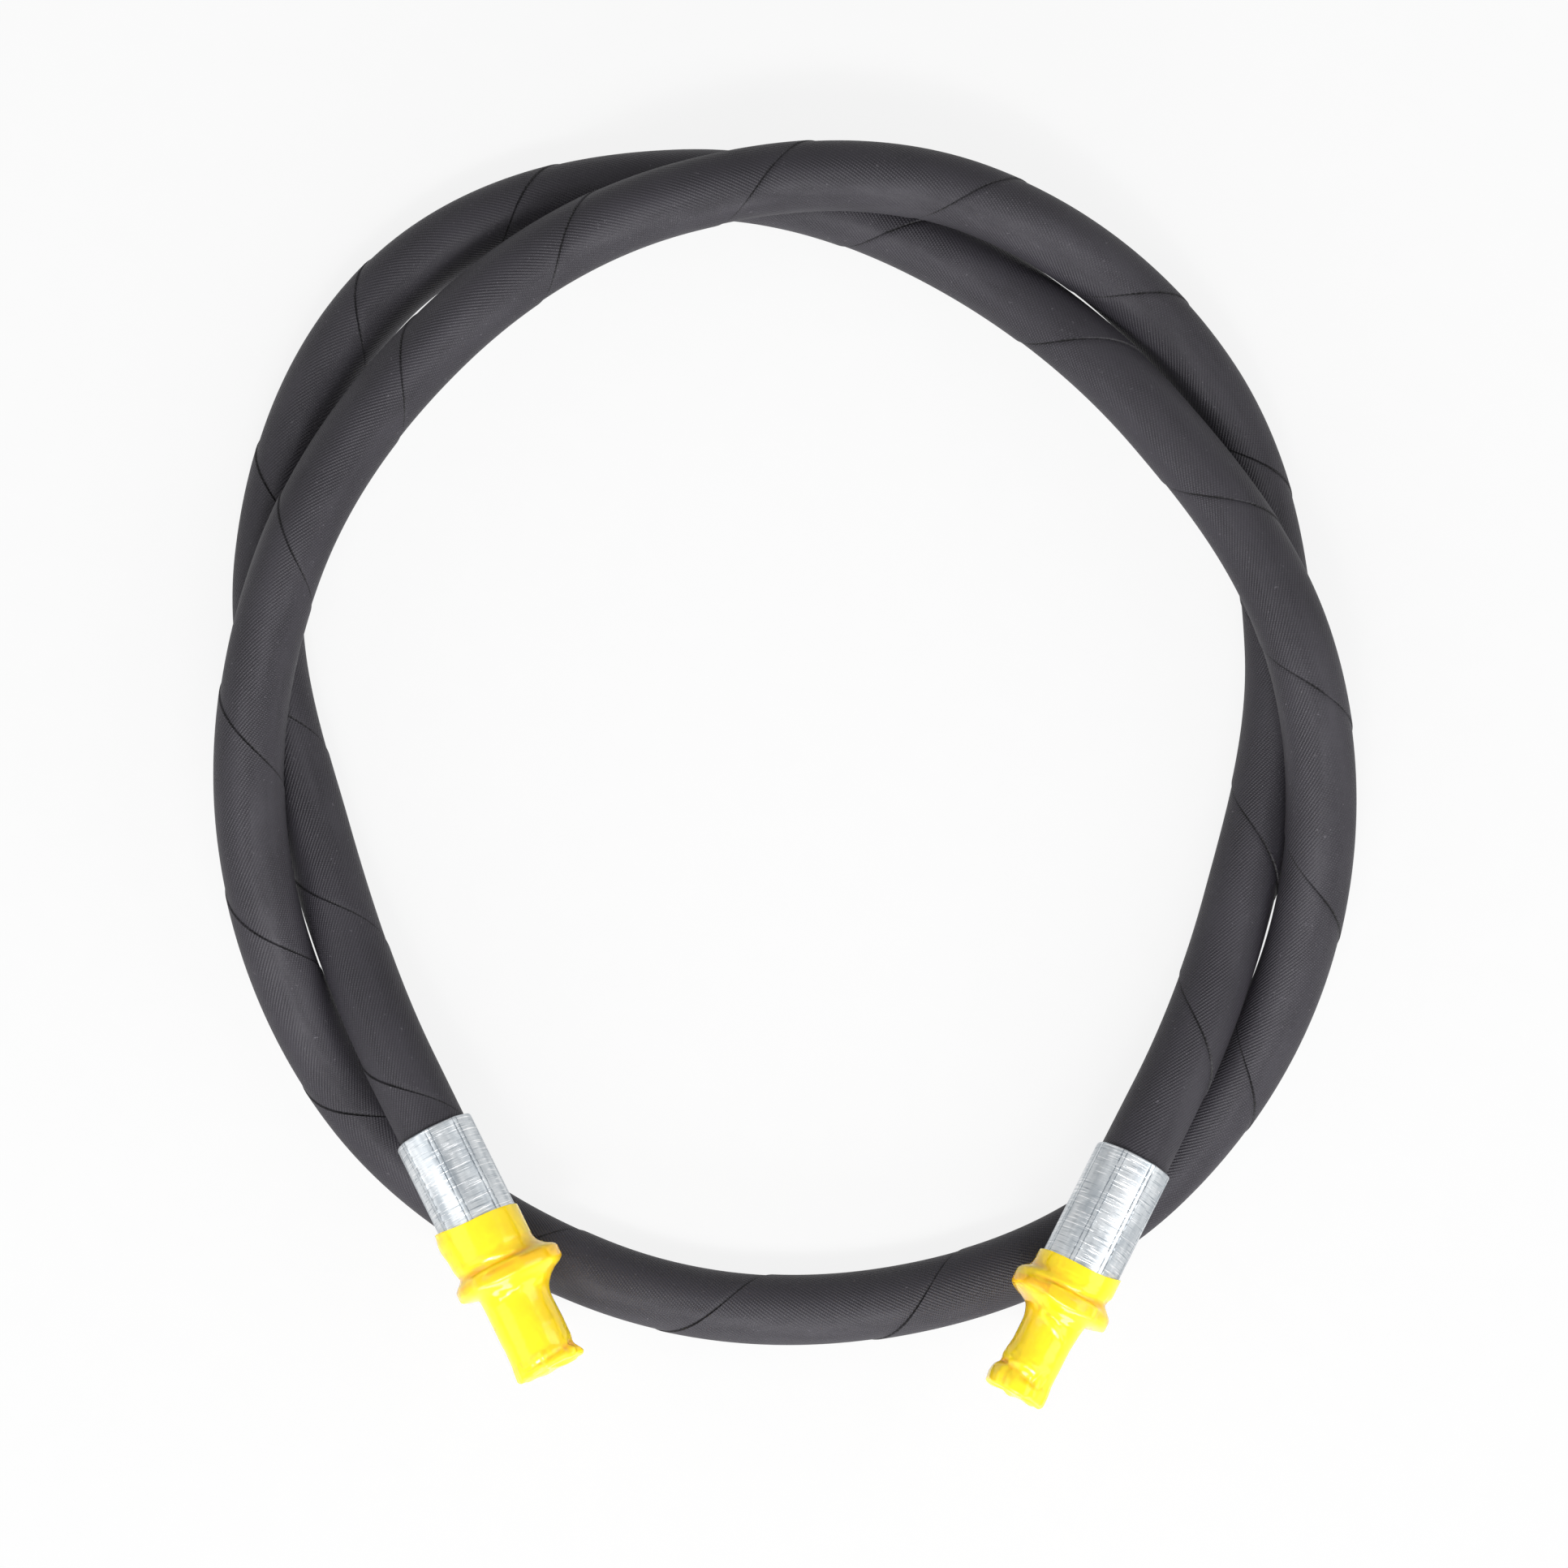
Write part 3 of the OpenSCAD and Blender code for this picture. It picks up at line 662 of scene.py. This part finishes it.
def crimped_ferrule(name, fit, jaw_turn, seed, node):
    """Sleeve pressed by eight jaws: each leaves a face a little flatter than round, and between two faces a narrow
    strip stands between two lines that chatter along it."""
    marks = np.random.default_rng(seed)
    sector = 2 * math.pi * FERRULE_R / JAWS
    half = JAW_STRIP_W / 2
    line_w = JAW_LINE_W / 2
    strip = [-half - line_w, -half, -half + line_w, 0, half - line_w, half, half + line_w]
    face = np.linspace(strip[-1], sector + strip[0], 14)[1:-1]
    place = np.concatenate([strip, face])
    turn = np.concatenate([jaw_turn + k * 360 / JAWS + np.degrees(place / FERRULE_R) for k in range(JAWS)])
    from_face = np.abs(np.tile(place, JAWS) - sector / 2) / (sector / 2)
    flat = 0.6 * (1 - np.minimum(from_face, 1) ** 2)
    line = np.tile(np.isclose(np.abs(place), half), JAWS)

    chamfer_u = FERRULE_L - END_CHAMFER
    body_u = np.concatenate([[MOUTH_ROUND], np.arange(2 * MOUTH_ROUND, chamfer_u, 0.7), [chamfer_u]])
    rounding = np.radians(np.arange(0, 90, 15))
    u = np.concatenate([MOUTH_ROUND * (1 - np.cos(rounding)), body_u, [FERRULE_L]])
    mouth_r = FERRULE_R - MOUTH_ROUND * (1 - np.sin(rounding))
    r = np.concatenate([mouth_r, np.full(len(body_u), FERRULE_R), [FERRULE_R - END_CHAMFER]])
    chatter = marks.random((len(u), len(turn)))
    chatter = (chatter + np.roll(chatter, 1, 0)) / 2
    depth = JAW_LINE_D * (0.55 + 1.1 * (chatter - 0.5)) * line * ease(u, 1.5, 4)[:, None]
    wall_r = r[:, None] - flat - depth
    wall_u = np.broadcast_to(u[:, None], wall_r.shape)

    grip = (LOCK_START - COVER_TUCK) / GRIPS
    bore = HOSE_LAYERS["outer_braid"][1] + FIT_GAP
    inside = [(LOCK_R + FIT_GAP, FERRULE_L), (LOCK_R + FIT_GAP, LOCK_START), (bore, LOCK_START)]
    for k in reversed(range(GRIPS)):
        low, high = COVER_TUCK + (k + 0.25) * grip, COVER_TUCK + (k + 0.75) * grip
        inside += [(bore, high), (bore + GRIP_D, high), (bore + GRIP_D, low), (bore, low)]
    inside += [(bore, COVER_TUCK + FIT_GAP), (MOUTH_R, COVER_TUCK + FIT_GAP), (MOUTH_R, 0)]
    inside = np.array(inside)
    ones = np.ones(len(turn))
    all_r = np.concatenate([wall_r, inside[:, :1] * ones])
    all_u = np.concatenate([wall_u, inside[:, 1:] * ones])
    rows = on_fitting(fit, all_r, turn, all_u)
    mesh = skin(rows, np.radians(turn - jaw_turn) * FERRULE_R, all_u + seed * 100, "bore")
    return add_piece(name, *mesh, FERRULE_ZINC, "hose", node, "ferrule_steel")


def hexagon_r(turn, half_af):
    """Distance from the middle to a hexagon's side, with a corner sideways."""
    return half_af / np.cos(np.radians(turn % 60 - 30))


def turned_stem(name, fit, male_r, node):
    """Stem with barbs, a collar, a lock groove, a hexagon with turned corners, and a threaded male end with a cone."""
    columns = 120
    turn = np.arange(columns) * 360 / columns
    root_r = TAIL_R - BARB_H
    neck_r = HOSE_LAYERS["outer_braid"][1]
    collar_r = HOSE_LAYERS["tube"][1]
    barb = (HOSE_END - TAIL_START) / BARBS
    base_r = male_r - RELIEF_D
    tip_r = STEM_BORE_R + RIM_W
    cone = (base_r - tip_r) / math.tan(math.radians(CONE_HALF))
    tail = []
    for k in range(BARBS):
        u = TAIL_START + k * barb
        tail += [(root_r, u), (TAIL_R, u + 0.78 * barb), (root_r, u + 0.8 * barb)]
    collar_u, lock_u, neck_u = HOSE_END + FIT_GAP, LOCK_START - FIT_GAP, FERRULE_L + FIT_GAP
    tail += [
        (root_r, collar_u), (collar_r, collar_u), (collar_r, lock_u), (LOCK_R, lock_u),
        (LOCK_R, neck_u), (neck_r, neck_u), (neck_r, HEX_START - 0.6), (neck_r + 0.6, HEX_START),
    ]
    tail = np.array(tail)
    face_r = HEX_AF / 2 - HEX_TURN
    drop = (HEX_CORNER_R - face_r) * math.tan(math.radians(30))
    hex_u = np.concatenate([np.linspace(0, drop, 6), np.linspace(HEX_T - drop, HEX_T, 6)])
    turned_r = np.interp(hex_u, [0, drop, HEX_T - drop, HEX_T], [face_r, HEX_CORNER_R, HEX_CORNER_R, face_r])
    hex_r = np.minimum(hexagon_r(turn, HEX_AF / 2), turned_r[:, None])
    thread_start = MALE_START + RELIEF_W
    thread_end = MALE_END - cone
    thread_u = np.arange(thread_start, thread_end, THREAD_PITCH / 8)
    phase = (thread_u[:, None] / THREAD_PITCH - turn / 360) % 1
    depth = RELIEF_D * 0.8 * np.clip(np.abs(phase - 0.5) * 2.6 - 0.2, 0, 1)
    run_in = ease(thread_u, thread_start, thread_start + 1.5)
    run_out = np.minimum(run_in, ease(-thread_u, -thread_end, 1.5 - thread_end))
    thread_r = base_r + (RELIEF_D - depth) * run_out[:, None]
    male = np.array([(base_r, MALE_START), (base_r, thread_start - 0.2)])
    nose = np.array([(base_r, thread_end), (tip_r, MALE_END), (STEM_BORE_R, MALE_END), (STEM_BORE_R, TAIL_START)])
    ones = np.ones(columns)
    all_r = np.concatenate([tail[:, :1] * ones, hex_r, male[:, :1] * ones, thread_r, nose[:, :1] * ones])
    all_u = np.concatenate([tail[:, 1], HEX_START + hex_u, male[:, 1], thread_u, nose[:, 1]])[:, None] * ones
    rows = on_fitting(fit, all_r, turn, all_u)
    mesh = skin(rows, np.radians(turn) * neck_r, all_u, "bore")
    return add_piece(name, *mesh, STEM_ZINC, "hose", node, "stem_steel", sharp=25)


def shrunk_cap(name, fit, male_r, shape, body, node):
    """Film cap that was shrunk over the ferrule's end, the hexagon and the male end. Its outlines give the distance
    from the middle along the right, top, left and under sides, and folds raise or crease it."""
    columns = 180
    turn = np.arange(columns) * 360 / columns
    f = np.radians(turn)
    sides = [np.clip(v, 0, None) ** 2 for v in (np.cos(f), np.sin(f), -np.cos(f), -np.sin(f))]
    start, tip, rounding = shape["start"], shape["tip"], shape["rounding"]
    u = np.arange(start, tip - rounding + 0.01, 0.75)

    def smoothed(outline):
        fine = np.arange(start - 6, tip + 6, 0.25)
        weight = np.hanning(15)
        even = np.convolve(np.interp(fine, *zip(*outline)), weight / weight.sum(), "same")
        return np.interp(u, fine, even)

    r = sum(smoothed(shape[key])[:, None] * side for key, side in zip(("right", "top", "left", "under"), sides))
    # Edge that doesn't run straight round the ferrule
    edge = sum(shift * side for shift, side in zip(shape["edge"], sides))
    slide = edge * (1 - ease(u, start, start + 14))[:, None]
    spot_u = u[:, None] + slide

    for path, width, height in shape["folds"]:
        path = np.array(path, float)
        off = np.full(r.shape, 1e9)
        for (u0, t0), (u1, t1) in zip(path[:-1], path[1:]):
            du, dt = u1 - u0, math.radians(t1 - t0) * FOLD_R
            gap = (turn - t0 + 180) % 360 - 180
            pu, pt = spot_u - u0, np.broadcast_to(np.radians(gap) * FOLD_R, r.shape)
            k = np.clip((pu * du + pt * dt) / (du * du + dt * dt), 0, 1)
            off = np.minimum(off, np.hypot(pu - k * du, pt - k * dt))
        r = r + height * np.exp(-(off / width) ** 2)
    # The closed end gathered unevenly as it shrank
    gathers = ease(u, tip - shape["gather"], tip - shape["gather"] + 3)[:, None]
    gathered = np.random.default_rng(shape["seed"])
    pucker = np.zeros(columns)
    for n in (5, 8, 13, 19, 26):
        swell, phase, lean = gathered.uniform(0.3, 1), gathered.uniform(0, 360), gathered.uniform(0, 6)
        pucker += swell * np.sin(np.radians(turn * n + phase)) * (1.2 + np.sin(f + lean))
    r = r + 0.13 * gathers * pucker
    ragged = np.repeat(gathered.uniform(-1, 1, columns // 6), 6)
    for _ in range(6):
        ragged = (np.roll(ragged, 2) + ragged + np.roll(ragged, -2)) / 3
    spot_u = spot_u + shape["ragged"] * ragged * ease(u, tip - 5, tip - 2)[:, None]

    # The film never goes inside the ferrule, the hexagon or the male end. It bends round the hexagon's turned corners.
    corner_r, face_r = HEX_CORNER_R + 0.1, HEX_AF / 2 + 0.6
    bridge = [HEX_START - 0.6, HEX_START + 0.9, MALE_START - 0.9, MALE_START + 0.6]
    turned_r = np.interp(spot_u, bridge, [face_r, corner_r, corner_r, face_r], 0, 0)
    hexagon = np.minimum(hexagon_r(turn, HEX_AF / 2) + 0.2, turned_r)
    male = np.where(spot_u < MALE_END + 1, male_r, 0)
    ferrule = np.where(spot_u < FERRULE_L + 0.5, FERRULE_R, 0)
    room = np.maximum(np.maximum(ferrule, hexagon), male) + FILM_GAP + FILM_T
    taut = np.stack([room, np.roll(room, 1, 0), np.roll(room, -1, 0)])
    taut[1, 0], taut[2, -1] = room[0], room[-1]
    room = np.maximum(room, taut.mean(0))
    r = room + (r - room + np.hypot(r - room, FILM_SOFT)) / 2
    # Soft film rounds every edge under it
    r = 0.4 * r + 0.3 * (np.roll(r, 1, 1) + np.roll(r, -1, 1))
    r[1:-1] = 0.5 * r[1:-1] + 0.25 * (r[:-2] + r[2:])

    bend = np.radians(np.arange(18, 91, 18))
    shrink = np.array([0.92, 0.78, 0.58, 0.36, 0.15])
    side_r, side_u = r[-1], spot_u[-1]
    ends_r = [side_r - rounding * (1 - np.cos(b)) for b in bend] + [(side_r - rounding) * k for k in shrink]
    ends_u = [side_u + rounding * np.sin(b) for b in bend]
    ends_u += [side_u + rounding - shape["dish"] * (1 - k) + 0.5 * k * (1 - k) * 4 * pucker * 0.4 for k in shrink]
    out_r, out_u = np.concatenate([r, ends_r]), np.concatenate([spot_u, ends_u])
    inwards = np.append(bend, [1.5] * 5)[:, None]
    in_r, in_u = np.concatenate([r - FILM_T, np.array(ends_r) - FILM_T * np.cos(inwards)]), out_u.copy()
    in_u[len(u):] -= FILM_T * np.sin(np.append(bend, [math.pi / 2] * 5))[:, None]
    rows = on_fitting(fit, np.concatenate([in_r[::-1], out_r]), turn, np.concatenate([in_u[::-1], out_u]))
    mesh = skin(rows, f * FERRULE_R, np.concatenate([in_u[::-1], out_u]), "middles")
    cap = add_piece(name, *mesh, CAP_VINYL, body, node, "cap_plastic", sharp=60)

    # Painted shade in creases, which lie below the film around them, and over the hexagon, with thicker film there too
    around = sum(np.roll(out_r, (i, j), (0, 1)) for i in range(-4, 5, 2) for j in range(-6, 7, 2)) / 35
    sunk = np.clip((around - out_r) / 0.7, 0, 1)
    sunk[:5] = sunk[-12:] = 0
    over_hexagon = ease(out_u, HEX_START + 0.5, HEX_START + 2) * (1 - ease(out_u, MALE_START, MALE_START + 2))
    painted_shade = np.clip(0.55 * sunk + 0.5 * over_hexagon, 0, 1)
    painted_shade = np.concatenate([painted_shade[::-1].ravel(), painted_shade.ravel(), [0, 0]])
    cap.data.attributes.new("film_painted_shade", "FLOAT", "POINT").data.foreach_set("value", painted_shade.astype(np.float32))
    return cap


FIT_A = fitting(MOUTH_A, OUT_A, 0)
FIT_B = fitting(MOUTH_B, OUT_B, -6)

CAP_A_SHAPE = {
    "start": 54.5, "tip": 142, "rounding": 1.8, "dish": 1.0, "gather": 11, "seed": 5, "ragged": 1.0,
    # Where the edge lies off the start, on the right, top, left and under sides
    "edge": (0.6, 0.0, -3.8, -1.5),
    "right": [(50, 22.6), (73, 22.6), (77, 24), (80.7, 28), (82.7, 32.3), (90.2, 32.3), (91.9, 30), (93.4, 26.3),
              (96.4, 22.6), (99.5, 20), (103, 18.2), (107.6, 17.4), (122, 18), (130, 17.8), (134, 17), (138, 18.8),
              (141, 19.6), (143, 19.6)],
    "top": [(50, 22.7), (74, 22.7), (79, 22), (82.2, 22.2), (84, 25), (85.5, 25.6), (90, 25.6), (91.6, 24.6),
            (94, 21.4), (98, 18.6), (104, 17.8), (125, 18), (133, 17.2), (137, 18.2), (143, 18.2)],
    "left": [(50, 23.6), (56, 23.9), (60, 25.2), (64, 24), (73, 23.5), (78.7, 22), (81, 25), (84, 26.9), (88, 26.9),
             (90, 23), (92, 17.6), (100, 17.3), (122, 17.6), (132, 17.9), (140, 18.7), (143, 18.7)],
    "under": [(50, 22.8), (76, 22.9), (80, 22.4), (83, 23.4), (86, 24.1), (91, 23.9), (95, 20.5), (100, 18.4),
              (106, 17.9), (128, 18), (134, 17.4), (138, 18.4), (143, 18.4)],
    # Ridges and creases: places along and round the fitting, then the width and the height
    "folds": [
        ([(75.2, 139), (76.4, 90), (78.3, 62)], 1.3, 0.8),
        ([(79.4, 150), (80.0, 120), (79.6, 96)], 1.1, 0.6),
        ([(80.8, 165), (81.0, 90), (80.4, 40)], 1.0, -0.5),
        ([(93.4, 107), (97.7, 76)], 0.6, -0.45),
        ([(98.4, 140), (98.6, 112)], 1.2, 0.6),
        ([(98.6, 72), (97.6, 30)], 1.3, 0.7),
        ([(102.6, 133), (103.0, 105), (105.0, 100)], 1.0, 0.45),
        ([(105.5, 133), (105.6, 114)], 1.0, 0.4),
        ([(138.6, 129), (137.6, 85), (136.2, 50), (133.8, 10)], 1.1, -1.1),
        ([(134.4, 100), (133.8, 62)], 1.2, 0.5),
        ([(137.6, 30), (140.2, 2)], 1.6, 1.0),
        ([(61, 178), (66, 160)], 2.0, 0.6),
        ([(112, 240), (126, 285)], 1.6, 0.6),
        ([(100, 290), (112, 310)], 1.5, -0.5),
        ([(96, 215), (108, 200)], 1.4, 0.5),
    ],
}
CAP_B_SHAPE = {
    "start": 64, "tip": 141, "rounding": 1.8, "dish": 1.2, "gather": 13, "seed": 9, "ragged": 1.6,
    "edge": (-3.2, 2.4, 1.6, -2.0),
    "right": [(60, 22.5), (73, 22.4), (77, 20.6), (80, 24), (83, 26.9), (88.5, 26.9), (90.2, 22), (91.5, 16.6),
              (97, 16), (107, 15), (130, 15), (134, 15.5), (142, 15.5)],
    "top": [(60, 22.7), (74, 22.7), (79, 21.8), (82, 22.2), (83.8, 24.6), (85.5, 25), (90, 25), (91.4, 24), (94, 20),
            (97, 16.8), (104, 15.6), (120, 15.4), (129, 15.2), (132, 14.8), (135.5, 16.6), (142, 16.2)],
    "left": [(60, 23.2), (71, 23.3), (75, 24.4), (77, 27), (79, 29.6), (87.8, 29.6), (89.3, 27), (91.8, 20), (93.8, 17),
             (98, 15.5), (102, 14.6), (114, 14.6), (124, 16.2), (128, 15.2), (130.5, 18.2), (135, 18.8), (142, 17.6)],
    "under": [(60, 22.8), (75, 22.9), (79, 22.2), (83, 23.4), (86, 24.1), (91, 23.9), (95, 19.6), (100, 16),
              (110, 15.2), (127, 15.4), (131, 14.8), (135, 16.6), (142, 16.2)],
    "folds": [
        ([(79.6, 125), (78.6, 90), (76.5, 64), (75.2, 40)], 1.4, 0.9),
        ([(80.9, 150), (81.0, 90), (80.0, 45)], 1.0, -0.5),
        ([(97.1, 129), (100.4, 104), (102.4, 90), (105.5, 62)], 1.3, 0.9),
        ([(96.5, 92), (94.8, 66), (95.6, 44)], 1.2, 0.7),
        ([(127.5, 146), (125.4, 105), (126.6, 84)], 1.5, 1.0),
        ([(128.0, 165), (131.4, 105), (134.4, 66)], 1.3, -1.0),
        ([(127.3, 70), (122.9, 53)], 1.2, 0.8),
        ([(125.5, 60), (133.5, 60)], 0.8, -0.6),
        ([(123.4, 124), (117.0, 58)], 2.4, 0.45),
        ([(120.0, 175), (124.5, 150)], 1.3, 0.7),
        ([(108, 300), (124, 250)], 1.7, 0.7),
        ([(98, 230), (112, 205)], 1.5, -0.6),
        ([(122, 320), (130, 280)], 1.4, 0.7),
    ],
}

fittings = [
    crimped_ferrule("crimped_ferrule_a", FIT_A, JAW_TURN_A, 1, "ferrule_a"),
    crimped_ferrule("crimped_ferrule_b", FIT_B, JAW_TURN_B, 2, "ferrule_b"),
    turned_stem("turned_stem_a", FIT_A, MALE_R_A, "stem_a"),
    turned_stem("turned_stem_b", FIT_B, MALE_R_B, "stem_b"),
    shrunk_cap("shrunk_cap_a", FIT_A, MALE_R_A, CAP_A_SHAPE, "cap_a", "cap_a"),
    shrunk_cap("shrunk_cap_b", FIT_B, MALE_R_B, CAP_B_SHAPE, "cap_b", "cap_b"),
]


# Floor and light

def white_floor():
    """Matt white paper: it shows white to the eye and in the metal, and keeps a soft shadow under the coil."""
    finish = bpy.data.materials.new("matt_white_paper")
    finish.use_nodes = True
    tree = finish.node_tree
    tree.nodes.clear()
    grain = add(tree, "ShaderNodeTexNoise", {"Scale": 400.0, "Detail": 2.0})
    paper = add(
        tree, "ShaderNodeMix", {0: grain.outputs[0], 6: linear("#c4c4c4"), 7: linear("#cccccc")}, data_type="RGBA"
    )
    matt = add(tree, "ShaderNodeBsdfDiffuse", {"Color": paper.outputs[2]})
    glow = add(tree, "ShaderNodeEmission", {"Color": linear("#ffffff"), "Strength": 1.0})
    path = add(tree, "ShaderNodeLightPath", {}).outputs
    seen = add(tree, "ShaderNodeMath", {0: path["Is Camera Ray"], 1: path["Is Glossy Ray"]}, operation="ADD")
    seen = add(tree, "ShaderNodeMath", {0: seen.outputs[0], 1: path["Is Transmission Ray"]}, operation="ADD")
    share = add(tree, "ShaderNodeMath", {0: seen.outputs[0], 1: 0.86}, operation="MULTIPLY")
    both = add(tree, "ShaderNodeMixShader", {0: share.outputs[0], 1: matt.outputs[0], 2: glow.outputs[0]})
    add(tree, "ShaderNodeOutputMaterial", {0: both.outputs[0]})
    mesh = bpy.data.meshes.new("floor")
    cells = 12
    spread = np.linspace(-4, 4, cells + 1)
    points = [(x, y, -0.0004) for y in spread for x in spread]
    faces = [
        (r * (cells + 1) + c, r * (cells + 1) + c + 1, (r + 1) * (cells + 1) + c + 1, (r + 1) * (cells + 1) + c)
        for r in range(cells) for c in range(cells)
    ]
    mesh.from_pydata(points, [], faces)
    mesh.materials.append(finish)
    floor = bpy.data.objects.new("floor", mesh)
    bpy.context.scene.collection.objects.link(floor)


def soft_lamp(name, spot, aim, wide, tall, power):
    lamp = bpy.data.objects.new(name, bpy.data.lights.new(name, "AREA"))
    lamp.data.shape = "RECTANGLE"
    lamp.data.size = wide
    lamp.data.size_y = tall
    lamp.data.energy = power
    away = unit(np.array(spot) - np.array(aim))
    side = unit(np.cross(UP, away))
    top = np.cross(away, side)
    lamp.matrix_world = Matrix([[side[k], top[k], away[k], spot[k]] for k in range(3)] + [[0, 0, 0, 1]])
    bpy.context.scene.collection.objects.link(lamp)


def white_room():
    world = bpy.data.worlds.new("white_room")
    bpy.context.scene.world = world
    world.use_nodes = True
    tree = world.node_tree
    tree.nodes.clear()
    path = add(tree, "ShaderNodeLightPath", {}).outputs
    seen = add(
        tree, "ShaderNodeMath", {0: path["Is Glossy Ray"], 1: 0.62, 2: path["Is Camera Ray"]}, operation="MULTIPLY_ADD"
    )
    shown = add(tree, "ShaderNodeMapRange", {"Value": seen.outputs[0], "To Min": 0.18, "To Max": 1.0})
    sky = add(tree, "ShaderNodeBackground", {"Color": linear("#ffffff"), "Strength": shown.outputs[0]})
    add(tree, "ShaderNodeOutputWorld", {0: sky.outputs[0]})


white_floor()
white_room()
soft_lamp("lamp_near_low", (0.0, -3.0, 1.0), (0, 0, 0), 2.4, 1.2, 78)
soft_lamp("lamp_near_high", (0.0, -1.6, 2.8), (0, 0, 0), 2.4, 0.9, 66)
soft_lamp("lamp_near_small", (-0.2, -1.5, 2.6), (0, 0, 0), 0.5, 0.25, 20)
soft_lamp("lamp_right", (2.6, 0.0, 1.8), (0, 0, 0), 3.6, 2.2, 52)
soft_lamp("lamp_left", (-2.6, 0.0, 1.8), (0, 0, 0), 3.6, 2.2, 28)
